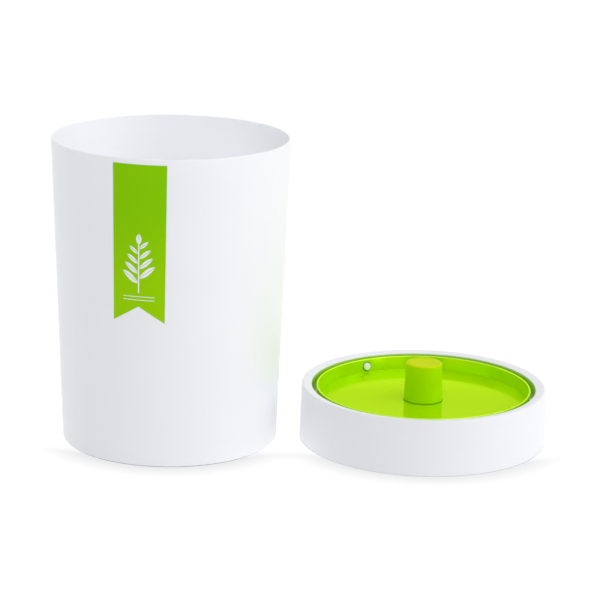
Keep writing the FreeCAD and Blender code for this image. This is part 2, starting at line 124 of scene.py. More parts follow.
class Value:
    """A number socket: arithmetic on it adds Math nodes to its graph."""

    def __init__(self, graph: "Graph", socket: bpy.types.NodeSocket) -> None:
        """Keep the socket and the graph that it belongs to."""
        self.graph = graph
        self.socket = socket

    def math(self, operation: str, *operands: "Value | float") -> "Value":
        """Add one Math node.

        Args:
            operation: the node's operation.
            operands: its inputs in order.

        Returns:
            The node's result.
        """
        node = self.graph.node("ShaderNodeMath", {"operation": operation}, dict(enumerate(operands)))
        return Value(self.graph, node.outputs[0])

    def __add__(self, other: "Value | float") -> "Value":
        """Sum."""
        return self.math("ADD", self, other)

    def __radd__(self, other: float) -> "Value":
        """Sum with a plain number first."""
        return self.math("ADD", other, self)

    def __sub__(self, other: "Value | float") -> "Value":
        """Difference."""
        return self.math("SUBTRACT", self, other)

    def __rsub__(self, other: float) -> "Value":
        """Difference from a plain number."""
        return self.math("SUBTRACT", other, self)

    def __mul__(self, other: "Value | float") -> "Value":
        """Product."""
        return self.math("MULTIPLY", self, other)

    def __rmul__(self, other: float) -> "Value":
        """Product with a plain number first."""
        return self.math("MULTIPLY", other, self)

    def __truediv__(self, other: "Value | float") -> "Value":
        """Quotient."""
        return self.math("DIVIDE", self, other)

    def __mod__(self, other: "Value | float") -> "Value":
        """Remainder that is never negative."""
        return self.math("FLOORED_MODULO", self, other)

    def __abs__(self) -> "Value":
        """Size without its sign."""
        return self.math("ABSOLUTE", self)

    def __lt__(self, other: "Value | float") -> "Value":
        """One where this is the smaller, else zero."""
        return self.math("LESS_THAN", self, other)

    def __gt__(self, other: "Value | float") -> "Value":
        """One where this is the larger, else zero."""
        return self.math("GREATER_THAN", self, other)

    def floor(self) -> "Value":
        """Whole part."""
        return self.math("FLOOR", self)

    def wave(self, pitch: float) -> "Value":
        """A sine wave along this value whose crests lie a pitch apart."""
        angle = self * (FULL_TURN / pitch)
        return angle.math("SINE", angle)

    def arch(self) -> "Value":
        """A hump over zero to one that rises to one in the middle."""
        return self * (1.0 - self) * 4.0

    def span(self, other: "Value") -> "Value":
        """Length of the slope over this run and another at right angles."""
        square = self * self + other * other
        return square.math("SQRT", square)

    def least(self, other: "Value | float") -> "Value":
        """The smaller of two."""
        return self.math("MINIMUM", self, other)

    def most(self, other: "Value | float") -> "Value":
        """The larger of two."""
        return self.math("MAXIMUM", self, other)

    def step(self, low: float, high: float) -> "Value":
        """A smooth rise from zero at low to one at high."""
        node = self.graph.node("ShaderNodeMapRange", {"interpolation_type": "SMOOTHSTEP"},
                               {"Value": self, "From Min": low, "From Max": high})
        return Value(self.graph, node.outputs["Result"])


class Graph:
    """The node tree of one material or of the world."""

    # Numbers of the colour sockets of a Mix node, whose names repeat.
    MIX_FACTOR = 0
    MIX_FIRST = 6
    MIX_SECOND = 7
    MIX_RESULT = 2
    AO_SAMPLES = 16

    def __init__(self, tree: bpy.types.NodeTree) -> None:
        """Start from an empty tree."""
        self.tree = tree
        tree.nodes.clear()

    def node(self, kind: str, settings: dict | None = None, inputs: dict | None = None) -> bpy.types.Node:
        """Add a node.

        Args:
            kind: the node's type.
            settings: its own properties, set before the sockets.
            inputs: values or links of its sockets, by name or number.

        Returns:
            The new node.
        """
        node = self.tree.nodes.new(kind)
        for name, setting in (settings or {}).items():
            setattr(node, name, setting)
        for key, content in (inputs or {}).items():
            source = content.socket if isinstance(content, Value) else content
            if isinstance(source, bpy.types.NodeSocket):
                self.tree.links.new(source, node.inputs[key])
            else:
                node.inputs[key].default_value = source
        return node

    def place(self, scale: Stretch = (1.0, 1.0, 1.0)) -> bpy.types.NodeSocket:
        """Position on the piece in metres, stretched along the axes."""
        point = self.node("ShaderNodeTexCoord").outputs["Object"]
        return self.node("ShaderNodeVectorMath", {"operation": "MULTIPLY"}, {0: point, 1: scale}).outputs[0]

    def parts(self, vector: bpy.types.NodeSocket) -> list[Value]:
        """The three numbers of a vector."""
        split = self.node("ShaderNodeSeparateXYZ", None, {0: vector})
        return [Value(self, socket) for socket in split.outputs]

    def reach(self, place: bpy.types.NodeSocket, centre: tuple[float, float]) -> Value:
        """Level distance of a place from an upright axis, in metres."""
        across, along, _ = self.parts(place)
        return (across - centre[0]).span(along - centre[1])

    def noise(self, vector: bpy.types.NodeSocket, size: float, detail: float = USUAL_DETAIL) -> Value:
        """Soft noise between about zero and one, with patches of a size in metres."""
        node = self.node("ShaderNodeTexNoise", None, {"Vector": vector, "Scale": 1 / size, "Detail": detail})
        return Value(self, node.outputs[0])

    def blend(self, factor: Value | float, first: object, second: object) -> bpy.types.NodeSocket:
        """A colour between two colours.

        Args:
            factor: zero for the first colour, one for the second.
            first: a colour or a socket that gives one.
            second: the other colour.

        Returns:
            The socket of the mixed colour.
        """
        contents = {self.MIX_FACTOR: factor, self.MIX_FIRST: first, self.MIX_SECOND: second}
        node = self.node("ShaderNodeMix", {"data_type": "RGBA"}, contents)
        return node.outputs[self.MIX_RESULT]

    def seen(self) -> Value:
        """Tell what shows in the picture from what only lights it.

        Returns:
            One for what the camera sees straight, mirrored or through glass, else zero.
        """
        path = self.node("ShaderNodeLightPath").outputs
        straight = Value(self, path["Is Camera Ray"]) + Value(self, path["Is Glossy Ray"])
        return (straight + Value(self, path["Is Transmission Ray"])).least(1.0)

    def openness(self, reach: float) -> Value:
        """One where nothing stands within a reach in metres above the surface, less beside a wall."""
        node = self.node("ShaderNodeAmbientOcclusion", {"samples": self.AO_SAMPLES}, {"Distance": reach})
        return Value(self, node.outputs["AO"])

    def bump(self, relief: Value) -> bpy.types.NodeSocket:
        """Normals of a relief whose height is in metres."""
        node = self.node("ShaderNodeBump", None, {"Height": relief, "Distance": 1.0, "Strength": 1.0})
        return node.outputs["Normal"]

    def plastic(self, **sockets: object) -> None:
        """Close the graph with one surface shader.

        Args:
            sockets: values or links of the shader's sockets, with _ for a space in a name.
        """
        inputs = {name.replace("_", " "): content for name, content in sockets.items()}
        shader = self.node("ShaderNodeBsdfPrincipled", None, inputs)
        self.node("ShaderNodeOutputMaterial", None, {"Surface": shader.outputs[0]})


def new_material(name: str) -> tuple[bpy.types.Material, Graph]:
    """Make an empty material.

    Args:
        name: the material's name.

    Returns:
        The material and its graph.
    """
    material = bpy.data.materials.new(name)
    material.use_nodes = True
    return material, Graph(material.node_tree)


@dataclass(frozen=True)
class MouldedWhite:
    """White moulded plastic: satin grain, faint marks of the mould, light rubbing and, where given, painted
    shade in narrow gaps.
    """

    name: str
    colour: Colour
    shade: Colour
    marks: Grain = Grain.DRAWN
    roughness: float = 0.36
    gloss: float = 0.4
    translucence: float = 0.0
    # Painted shade for narrow gaps: its colour, the axis and radius within which it goes, and the reach and
    # limits of the openness.
    crevice_shade: Colour | None = None
    crevice_centre: tuple[float, float] = (0.0, 0.0)
    crevice_radius: float = 0.0
    crevice_reach: float = 6 * MM
    crevice_limits: Limits = (0.6, 0.97)
    light_path: float = 2.5 * MM
    cloud_size: float = 70 * MM
    cloud_share: float = 0.7
    tone_limits: Limits = (0.3, 0.7)
    mark_size: float = 2.6 * MM
    mark_depth: float = 0.004 * MM
    mark_sheen: float = 0.08
    grain_size: float = 0.35 * MM
    grain_depth: float = 0.006 * MM
    rub_size: float = 5 * MM
    rub_limits: Limits = (0.62, 0.74)
    rub_sheen: float = 0.07

    def material(self) -> bpy.types.Material:
        """Build the material.

        Returns:
            The finished material.
        """
        material, graph = new_material(self.name)
        place = graph.place()
        cloud = graph.noise(place, self.cloud_size)
        marks = graph.noise(graph.place(self.marks.value), self.mark_size)
        grain = graph.noise(place, self.grain_size, SMOOTH_DETAIL)
        rub = graph.noise(place, self.rub_size, FINE_DETAIL).step(*self.rub_limits)
        tone = (self.cloud_share * cloud + (1 - self.cloud_share) * marks).step(*self.tone_limits)
        relief = marks * self.mark_depth + grain * self.grain_depth
        colour = graph.blend(tone, self.colour, self.shade)
        # Painted shade: within the given radius the colour darkens towards a set colour where the openness
        # finds a wall near.
        if self.crevice_shade:
            outside = graph.reach(place, self.crevice_centre) > self.crevice_radius
            clear = graph.openness(self.crevice_reach).step(*self.crevice_limits).most(outside)
            colour = graph.blend(clear, self.crevice_shade, colour)
        graph.plastic(
            Base_Color=colour,
            Roughness=self.roughness + self.mark_sheen * (marks - 0.5) + self.rub_sheen * rub,
            Specular_IOR_Level=self.gloss,
            Subsurface_Weight=self.translucence,
            Subsurface_Radius=(1.0, 1.0, 1.0),
            Subsurface_Scale=self.light_path,
            Normal=graph.bump(relief),
        )
        return material


@dataclass(frozen=True)
class GlossGreen:
    """Dyed glossy plastic: flow rings, waviness and hairlines, with painted shade in its corners and a
    painted highlight on its top band.
    """

    name: str
    colour: Colour
    shade: Colour
    tint: Colour
    centre: tuple[float, float]
    # Painted highlight: a paler, yellower colour over the band from crown_level less crown_depth up to
    # crown_level.
    top_highlight: Colour
    crown_level: float
    crown_depth: float = 0.8 * MM
    # Painted shade in corners, at the knob's foot and round the pins; the radius, reach and limits below
    # shape it.
    crevice_shade: Colour = (0.17, 0.42, 0.0, 1.0)
    crevice_radius: float = math.inf
    crevice_reach: float = 2.5 * MM
    crevice_limits: Limits = (0.35, 0.8)
    roughness: float = 0.09
    gloss: float = 0.005
    lustre: float = 0.36
    ring_pitch: float = 9 * MM
    ring_depth: float = 0.003 * MM
    wave_size: float = 16 * MM
    wave_depth: float = 0.006 * MM
    scratch_size: float = 0.5 * MM
    scratch_sheen: float = 0.05
    lengthwise: Stretch = (1.0, 0.03, 0.3)
    lengthwise_limits: Limits = (0.68, 0.76)
    crosswise: Stretch = (0.04, 1.0, 0.3)
    crosswise_limits: Limits = (0.7, 0.78)
    cloud_size: float = 40 * MM
    cloud_limits: Limits = (0.3, 0.7)
    cloud_sheen: float = 0.03

    def material(self) -> bpy.types.Material:
        """Build the material.

        Returns:
            The finished material.
        """
        material, graph = new_material(self.name)
        place = graph.place()
        up = graph.parts(place)[2]
        reach = graph.reach(place, self.centre)
        cloud = graph.noise(place, self.cloud_size).step(*self.cloud_limits)
        # Painted highlight over the top band.
        highlight_band = up.step(self.crown_level - self.crown_depth, self.crown_level)
        waves = graph.noise(place, self.wave_size, SMOOTH_DETAIL)
        lengthwise = graph.noise(graph.place(self.lengthwise), self.scratch_size, SMOOTH_DETAIL)
        crosswise = graph.noise(graph.place(self.crosswise), self.scratch_size, SMOOTH_DETAIL)
        scratches = lengthwise.step(*self.lengthwise_limits).most(crosswise.step(*self.crosswise_limits))
        relief = reach.wave(self.ring_pitch) * self.ring_depth + waves * self.wave_depth
        body = graph.blend(highlight_band, graph.blend(cloud, self.colour, self.shade), self.top_highlight)
        # Painted shade: darker towards a set colour where the openness finds a wall near.
        clear = graph.openness(self.crevice_reach).step(*self.crevice_limits)
        if math.isfinite(self.crevice_radius):
            clear = clear.most(reach > self.crevice_radius)
        graph.plastic(
            Base_Color=graph.blend(clear, self.crevice_shade, body),
            Metallic=self.lustre,
            Roughness=self.roughness + self.cloud_sheen * cloud + self.scratch_sheen * scratches,
            Specular_IOR_Level=self.gloss,
            Specular_Tint=self.tint,
            Normal=graph.bump(relief),
        )
        return material


@dataclass(frozen=True)
class PrintedFilm:
    """Green label film with a pale edge, a printed sprig and a double rule."""

    name: str
    width: float
    height: float
    notch: float
    ink: Colour
    ink_shade: Colour
    bare: Colour
    ink_limits: Limits = (0.15, 0.75)
    ink_grain: float = 0.2
    roughness: float = 0.34
    grain_sheen: float = 0.08
    print_sheen: float = 0.06
    gloss: float = 0.04
    border: float = 0.2 * MM
    stem_foot: float = 27 * MM
    stem_width: float = 0.45 * MM
    leaf_pitch: float = 7.6 * MM
    leaf_rows: int = 4
    leaf_length: float = 12.5 * MM
    leaf_half: float = 2.7 * MM
    leaf_rise: float = 0.75
    leaf_shrink: float = 0.13
    tip_row: float = 0.9
    tip_length_share: float = 0.7
    tip_half_share: float = 0.75
    vein: float = 0.22 * MM
    rule_level: float = 19 * MM
    rule_gap: float = 2.6 * MM
    rule_half: float = 12 * MM
    rule_width: float = 0.5 * MM
    grain_size: float = 0.3 * MM
    wrinkle_size: float = 26 * MM
    wrinkle_depth: float = 0.03 * MM

    def _edge(self, across: Value, up: Value) -> Value:
        """Measure from the label's own outline.

        Args:
            across: distance from the label's middle line.
            up: height above its tails.

        Returns:
            The distance to the nearest edge.
        """
        half = self.width / 2
        slope = self.notch / half
        tail = (up - (self.notch - abs(across) * slope)) / math.hypot(1.0, slope)
        return (half - abs(across)).least(self.height - up).least(tail)

    def _sprig(self, across: Value, up: Value) -> Value:
        """Draw a stem with alternate leaves that shorten towards its tip.

        Args:
            across: distance from the label's middle line.
            up: height above its tails.

        Returns:
            One inside the sprig, else zero.
        """
        side = abs(across)
        stagger = (across > 0.0) * (self.leaf_pitch / 2)
        climb = up - self.stem_foot - side * self.leaf_rise - stagger
        row = (climb / self.leaf_pitch).floor()
        size = 1.0 - row * self.leaf_shrink
        belly = (side / (self.leaf_length * size)).arch() * self.leaf_half * size
        middle = abs(climb % self.leaf_pitch - self.leaf_pitch / 2)
        leaf = (middle < belly) * (middle > self.vein) * (row > -0.5) * (row < self.leaf_rows - 0.5)
        top = self.leaf_pitch * (self.leaf_rows + self.tip_row)
        rise = up - self.stem_foot
        stem = (side < self.stem_width) * (rise > -self.leaf_pitch / 2) * (rise < top)
        tip_share = (rise - top + self.leaf_pitch / 2) / (self.leaf_length * self.tip_length_share)
        tip = (side < tip_share.arch() * (self.leaf_half * self.tip_half_share)) * (side > self.vein)
        return leaf.most(stem).most(tip)

    def _rules(self, across: Value, up: Value) -> Value:
        """Draw two short level lines.

        Args:
            across: distance from the label's middle line.
            up: height above its tails.

        Returns:
            One inside either line, else zero.
        """
        level = abs(up - self.rule_level)
        line = abs(level - self.rule_gap / 2) < self.rule_width / 2
        return line * (abs(across) < self.rule_half)

    def material(self) -> bpy.types.Material:
        """Build the material.

        Returns:
            The finished material.
        """
        material, graph = new_material(self.name)
        flat = graph.node("ShaderNodeUVMap", {"uv_map": "flat"}).outputs[0]
        share_across, share_up, _ = graph.parts(flat)
        across = (share_across - 0.5) * self.width
        up = share_up * self.height
        edge = self._edge(across, up) < self.border
        print_mask = self._sprig(across, up).most(self._rules(across, up)).most(edge)
        place = graph.place()
        grain = graph.noise(place, self.grain_size, SMOOTH_DETAIL)
        wrinkles = graph.noise(place, self.wrinkle_size, SMOOTH_DETAIL)
        # The ink runs darker towards the top of the label.
        ink_rise = (share_up + self.ink_grain * (grain - 0.5)).step(*self.ink_limits)
        ink = graph.blend(ink_rise, self.ink, self.ink_shade)
        graph.plastic(
            Base_Color=graph.blend(print_mask, ink, self.bare),
            Roughness=self.roughness + self.grain_sheen * grain + self.print_sheen * print_mask,
            Specular_IOR_Level=self.gloss,
            Normal=graph.bump(wrinkles * self.wrinkle_depth),
        )
        return material


@dataclass(frozen=True)
class ZincPlate:
    """Bright zinc on steel with fine turning rings."""

    name: str
    centre: tuple[float, float]
    colour: Colour = (0.62, 0.64, 0.66, 1.0)
    shade: Colour = (0.46, 0.47, 0.48, 1.0)
    roughness: float = 0.28
    ring_pitch: float = 0.18 * MM
    ring_depth: float = 0.004 * MM
    cloud_size: float = 1.2 * MM
    cloud_limits: Limits = (0.3, 0.7)
    cloud_sheen: float = 0.14

    def material(self) -> bpy.types.Material:
        """Build the material.

        Returns:
            The finished material.
        """
        material, graph = new_material(self.name)
        place = graph.place()
        rings = graph.reach(place, self.centre).wave(self.ring_pitch)
        cloud = graph.noise(place, self.cloud_size).step(*self.cloud_limits)
        graph.plastic(
            Base_Color=graph.blend(cloud, self.colour, self.shade),
            Metallic=1.0,
            Roughness=self.roughness + self.cloud_sheen * cloud,
            Normal=graph.bump(rings * self.ring_depth),
        )
        return material


@dataclass(frozen=True)
class Corner:
    """One corner of a turned section: distance from the axis, height and rounding radius."""

    radius: float
    height: float
    blend: float = 0.0


def round_corner(mesh: bmesh.types.BMesh, vert: bmesh.types.BMVert, radius: float, steps: int) -> None:
    """Round one corner of a wire outline.

    Args:
        mesh: the mesh that holds the outline.
        vert: the corner.
        radius: the arc's radius.
        steps: edges along the arc.
    """
    first, second = (edge.other_vert(vert).co - vert.co for edge in vert.link_edges)
    reach = radius / math.tan(first.angle(second) / 2)
    bmesh.ops.bevel(mesh, geom=[vert], offset=reach, offset_type="OFFSET", affect="VERTICES",
                    segments=steps, profile=0.5, material=-1)


def turn(corners: list[Corner], closed: bool, steps: int = 192, arc_steps: int = 6) -> bmesh.types.BMesh:
    """Turn a section about the vertical axis.

    Args:
        corners: the section in order.
        closed: whether the last corner joins the first; otherwise both ends lie on the axis.
        steps: facets round the axis.
        arc_steps: facets along each rounding.

    Returns:
        A closed mesh about the origin's vertical axis.
    """
    mesh = bmesh.new()
    verts = [mesh.verts.new((corner.radius, 0.0, corner.height)) for corner in corners]
    followers = verts[1:] + verts[:1] if closed else verts[1:]
    for vert, follower in zip(verts, followers):
        mesh.edges.new((vert, follower))
    for vert, corner in zip(verts, corners):
        if corner.blend:
            round_corner(mesh, vert, corner.blend, arc_steps)
    bmesh.ops.spin(mesh, geom=mesh.verts[:] + mesh.edges[:], cent=(0, 0, 0), axis=(0, 0, 1),
                   angle=FULL_TURN, steps=steps, use_merge=True)
    bmesh.ops.remove_doubles(mesh, verts=mesh.verts[:], dist=MERGE_REACH)
    bmesh.ops.recalc_face_normals(mesh, faces=mesh.faces[:])
    return mesh


def make_piece(mesh: bmesh.types.BMesh, name: str, material: bpy.types.Material, body: Body,
               node: str) -> bpy.types.Object:
    """Make an object of a finished mesh, dress it and fix it to its body.

    Args:
        mesh: the shape, in the frame's place.
        name: the piece's name.
        material: its finish.
        body: the body that it rides on.
        node: the frame's node that it stands for.

    Returns:
        The new object.
    """
    data = bpy.data.meshes.new(name)
    mesh.to_mesh(data)
    mesh.free()
    data.shade_smooth()
    data.set_sharp_from_angle(angle=SHARP_ANGLE)
    piece = bpy.data.objects.new(name, data)
    bpy.context.scene.collection.objects.link(piece)
    data.materials.append(material)
    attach(piece, body.value)
    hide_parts(node)
    LOG.info("%s: %d faces on %s", name, len(data.polygons), body.value)
    return piece


def carve(piece: bpy.types.Object, cutter: bmesh.types.BMesh) -> None:
    """Cut one shape out of a piece.

    Args:
        piece: the object that is cut.
        cutter: the shape that is taken away.
    """
    data = bpy.data.meshes.new("cutter")
    cutter.to_mesh(data)
    cutter.free()
    tool = bpy.data.objects.new("cutter", data)
    bpy.context.scene.collection.objects.link(tool)
    cut = piece.modifiers.new("cut", "BOOLEAN")
    cut.operation = "DIFFERENCE"
    cut.solver = "EXACT"
    cut.object = tool
    depsgraph = bpy.context.evaluated_depsgraph_get()
    result = bpy.data.meshes.new_from_object(piece.evaluated_get(depsgraph))
    piece.modifiers.remove(cut)
    old = piece.data
    piece.data = result
    bpy.data.meshes.remove(old)
    result.name = piece.name
    bpy.data.objects.remove(tool)
    bpy.data.meshes.remove(data)


def rod(radius: float, start: float, end: float, turn_to: Matrix, sides: int = 64) -> bmesh.types.BMesh:
    """A closed round rod laid along a direction.

    Args:
        radius: the rod's radius.
        start: where it starts along its axis.
        end: where it ends.
        turn_to: where its own vertical axis goes.
        sides: facets round it.

    Returns:
        The rod's mesh.
    """
    mesh = bmesh.new()
    middle = Matrix.Translation((0, 0, (start + end) / 2))
    bmesh.ops.create_cone(mesh, cap_ends=True, segments=sides, radius1=radius, radius2=radius,
                          depth=end - start, matrix=turn_to @ middle)
    return mesh


def add_mesh(mesh: bmesh.types.BMesh, extra: bmesh.types.BMesh) -> None:
    """Put one mesh's shapes into another.

    Args:
        mesh: the mesh that grows.
        extra: the mesh that goes into it, freed afterwards.
    """
    data = bpy.data.meshes.new("extra")
    extra.to_mesh(data)
    extra.free()
    mesh.from_mesh(data)
    bpy.data.meshes.remove(data)


@dataclass
class Bucket:
    """The tapered bin and the label on its front."""

    taper_run: float = 7.9 * MM
    wall: float = 1.8 * MM
    floor: float = 2.4 * MM
    foot_height: float = 2.2 * MM
    foot_width: float = 3.6 * MM
    foot_round: float = 1.5 * MM
    rim_round: float = 0.81 * MM
    floor_round: float = 6 * MM
    gate_radius: float = 4 * MM
    gate_depth: float = 0.6 * MM
    label_width: float = 40.2 * MM
    label_notch: float = 12.4 * MM
    label_film: float = 0.2 * MM
    label_bond: float = 0.05 * MM
    label_flare: float = 0.045
    label_tail: float = 1.4 * MM
    label_heading: float = math.radians(-101.9)
    label_lean: float = math.radians(0.72)
    label_strips: int = 26

    def __post_init__(self) -> None:
        """Take the main sizes from the frame."""
        low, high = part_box("bin_body")
        self.height = high.z
        self.rim_radius = (high.x - low.x) / 2
        self.base_radius = self.rim_radius - self.taper_run
        label_low, label_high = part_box("label")
        self.label_foot = label_low.z - self.label_tail
        self.label_height = label_high.z - self.label_foot

    def wall_radius(self, height: float) -> float:
        """Outer radius of the wall at a height."""
        return self.base_radius + self.taper_run * height / self.height

    def build_shell(self, finish: MouldedWhite) -> None:
        """Turn the bin and dress it.

        Args:
            finish: its plastic.
        """
        level = self.foot_height + self.floor
        shell = turn([
            Corner(0.0, self.foot_height + self.gate_depth),
            Corner(self.gate_radius, self.foot_height + self.gate_depth),
            Corner(self.gate_radius, self.foot_height),
            Corner(self.base_radius - self.foot_width, self.foot_height),
            Corner(self.base_radius - self.foot_width, 0.0),
            Corner(self.base_radius, 0.0, self.foot_round),
            Corner(self.rim_radius, self.height, self.rim_round),
            Corner(self.rim_radius - self.wall, self.height, self.rim_round),
            Corner(self.wall_radius(level) - self.wall, level, self.floor_round),
            Corner(0.0, level),
        ], closed=False)
        make_piece(shell, "bin_shell", finish.material(), Body.BIN, "bin_body")

    def _wrap(self, flat: Vector) -> Vector:
        """Lay a point of the flat label on the wall.

        Args:
            flat: the point, with x across, y outward and z up from the label's foot.

        Returns:
            Its place on the wall.
        """
        height = self.label_foot + flat.z
        radius = self.wall_radius(height) + self.label_bond + flat.y
        across = flat.x * (1 + self.label_flare * flat.z / self.label_height)
        heading = self.label_heading + across / self.wall_radius(height)
        return Vector((radius * math.cos(heading), radius * math.sin(heading), height))

    def build_label(self, finish: PrintedFilm) -> None:
        """Cut the swallow-tail film, wrap it on the wall and dress it.

        Args:
            finish: the printed film.
        """
        mesh = bmesh.new()
        half = self.label_width / 2
        outline = [(half, 0.0), (half, self.label_height), (-half, self.label_height), (-half, 0.0),
                   (0.0, self.label_notch)]
        mesh.faces.new([mesh.verts.new((across, 0.0, up)) for across, up in outline])
        for index in range(1, self.label_strips):
            across = half * (2 * index / self.label_strips - 1)
            bmesh.ops.bisect_plane(mesh, geom=mesh.verts[:] + mesh.edges[:] + mesh.faces[:], dist=CUT_REACH,
                                   plane_co=(across, 0, 0), plane_no=(1, 0, 0))
        bmesh.ops.recalc_face_normals(mesh, faces=mesh.faces[:])
        bmesh.ops.solidify(mesh, geom=mesh.faces[:], thickness=self.label_film)
        depths = [vert.co.y for vert in mesh.verts]
        bmesh.ops.translate(mesh, verts=mesh.verts[:], vec=(0, -min(depths), 0))
        flat = mesh.loops.layers.uv.new("flat")
        for face in mesh.faces:
            for loop in face.loops:
                point = loop.vert.co
                loop[flat].uv = (point.x / self.label_width + 0.5, point.z / self.label_height)
        bmesh.ops.rotate(mesh, verts=mesh.verts[:], cent=(0, 0, self.label_height / 2),
                         matrix=Matrix.Rotation(self.label_lean, 3, "Y"))
        for vert in mesh.verts:
            vert.co = self._wrap(vert.co)
        bmesh.ops.recalc_face_normals(mesh, faces=mesh.faces[:])
        make_piece(mesh, "label_banner", finish.material(), Body.BIN, "label")


@dataclass
class RingLid:
    """The white ring of the lid and the two pins that carry its dish."""

    wall: float = 2 * MM
    crown_rise: float = 0.56 * MM
    skirt_draft: float = 1.3 * MM
    skirt_foot_round: float = 0.6 * MM
    flange_depth: float = 3.6 * MM
    crown_fall: float = 1.6 * MM
    shoulder_round: float = 1.6 * MM
    lip_round: float = 0.8 * MM
    flange_width: float = 7.7 * MM
    plug_depth: float = 14 * MM
    plug_wall: float = 1.6 * MM
    plug_lean: float = 0.46 * MM
    plug_lead: float = 0.7 * MM
    boss_radius: float = 4.6 * MM
    boss_face: float = 3.2 * MM
    boss_root_share: float = 1 / 3
    guide_count: int = 12
    guide_thickness: float = 1.4 * MM
    guide_reach: float = 1.5 * MM
    guide_depth: float = 9 * MM
    guide_lead: float = 1.6 * MM
    guide_root_share: float = 1 / 4
    pin_radius: float = 3 * MM
    pin_end_round: float = 0.7 * MM
    pin_inset: float = 7.61 * MM
    pin_tip: float = 0.84 * MM
    pin_facets: int = 64

    def __post_init__(self) -> None:
        """Take the main sizes and the pivot from the frame."""
        low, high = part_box("lid_ring")
        self.centre = Vector(((low.x + high.x) / 2, (low.y + high.y) / 2, 0.0))
        self.skirt_base = (high.x - low.x) / 2
        self.height = high.z + self.crown_rise
        self.skirt_top = self.skirt_base - self.skirt_draft
        self.lip_radius = self.skirt_top - self.flange_width
        hinge = next(joint for joint in frame["joints"] if joint["name"] == "dish_swing")
        self.pivot = Vector(hinge["pos_m"])
        self.axis = Vector(hinge["axis"])

    @property
    def inner_face(self) -> float:
        """Radius within which the ring's surface faces the dish."""
        return self.lip_radius + self.lip_round / 4

    def along_pivot(self, end: PivotEnd = PivotEnd.REAR) -> Matrix:
        """A turn and shift that lays the vertical on the pivot, with its zero at the lid's axis."""
        turn_to = (self.axis * end.value).to_track_quat("Z", "Y").to_matrix().to_4x4()
        return Matrix.Translation(self.pivot) @ turn_to

    def build_ring(self, finish: MouldedWhite) -> None:
        """Turn the ring, add its bosses and guide ribs and dress it.

        Args:
            finish: its plastic.
        """
        seat = self.height - self.flange_depth
        lip = self.height - self.crown_fall
        foot = seat - self.plug_depth
        ring = turn([
            Corner(self.skirt_base, 0.0, self.skirt_foot_round),
            Corner(self.skirt_top, self.height, self.shoulder_round),
            Corner(self.lip_radius, lip, self.lip_round),
            Corner(self.lip_radius - self.plug_lean, foot),
            Corner(self.lip_radius - self.plug_lean + self.plug_wall - self.plug_lead, foot),
            Corner(self.lip_radius - self.plug_lean + self.plug_wall, foot + self.plug_lead),
            Corner(self.lip_radius + self.plug_wall, seat),
            Corner(self.skirt_top - self.wall, seat),
            Corner(self.skirt_base - self.wall, 0.0),
        ], closed=True)
        self._add_guides(ring, seat)
        bmesh.ops.translate(ring, verts=ring.verts[:], vec=self.centre)
        boss_root = self.lip_radius + self.plug_wall * self.boss_root_share
        for end in PivotEnd:
            boss = rod(self.boss_radius, self.lip_radius - self.boss_face, boss_root, self.along_pivot(end))
            add_mesh(ring, boss)
        make_piece(ring, "lid_ring_shell", finish.material(), Body.LID, "lid_ring")

    def _add_guides(self, ring: bmesh.types.BMesh, seat: float) -> None:
        """Add the ribs inside the skirt that centre the lid on the bin's rim.

        Args:
            ring: the ring's mesh about the origin.
            seat: height of the flange's underside.
        """
        rib = bmesh.new()
        inner = self.skirt_top - self.wall - self.guide_reach
        root = self.skirt_top - self.wall / 2
        top = seat + self.flange_depth * self.guide_root_share
        foot = seat - self.guide_depth
        half = self.guide_thickness / 2
        outline = [(inner, top), (inner, foot + self.guide_lead), (root, foot), (root, top)]
        face = rib.faces.new([rib.verts.new((radius, -half, height)) for radius, height in outline])
        grown = bmesh.ops.extrude_face_region(rib, geom=[face])
        fresh = [item for item in grown["geom"] if isinstance(item, bmesh.types.BMVert)]
        bmesh.ops.translate(rib, verts=fresh, vec=(0, self.guide_thickness, 0))
        bmesh.ops.recalc_face_normals(rib, faces=rib.faces[:])
        heading = math.atan2(self.axis.y, self.axis.x)
        bmesh.ops.rotate(rib, verts=rib.verts[:], cent=(0, 0, 0), matrix=Matrix.Rotation(heading, 3, "Z"))
        bmesh.ops.spin(rib, geom=rib.verts[:] + rib.edges[:] + rib.faces[:], cent=(0, 0, 0), axis=(0, 0, 1),
                       angle=FULL_TURN * (1 - 1 / self.guide_count), steps=self.guide_count - 1,
                       use_duplicate=True)
        add_mesh(ring, rib)

    def build_pins(self, finish: MouldedWhite) -> None:
        """Turn the two plain pins and lay them on the pivot.

        Args:
            finish: their plastic.
        """
        face = self.lip_radius - self.pin_inset
        material = finish.material()
        for end in PivotEnd:
            name = end.name.lower()
            pin = turn([
                Corner(0.0, face),
                Corner(self.pin_radius, face, self.pin_end_round),
                Corner(self.pin_radius, self.lip_radius + self.pin_tip),
                Corner(0.0, self.lip_radius + self.pin_tip),
            ], closed=False, steps=self.pin_facets)
            bmesh.ops.transform(pin, verts=pin.verts[:], matrix=self.along_pivot(end))
            make_piece(pin, f"pin_{name}", material, Body.LID, f"pivot_pin_{name}")


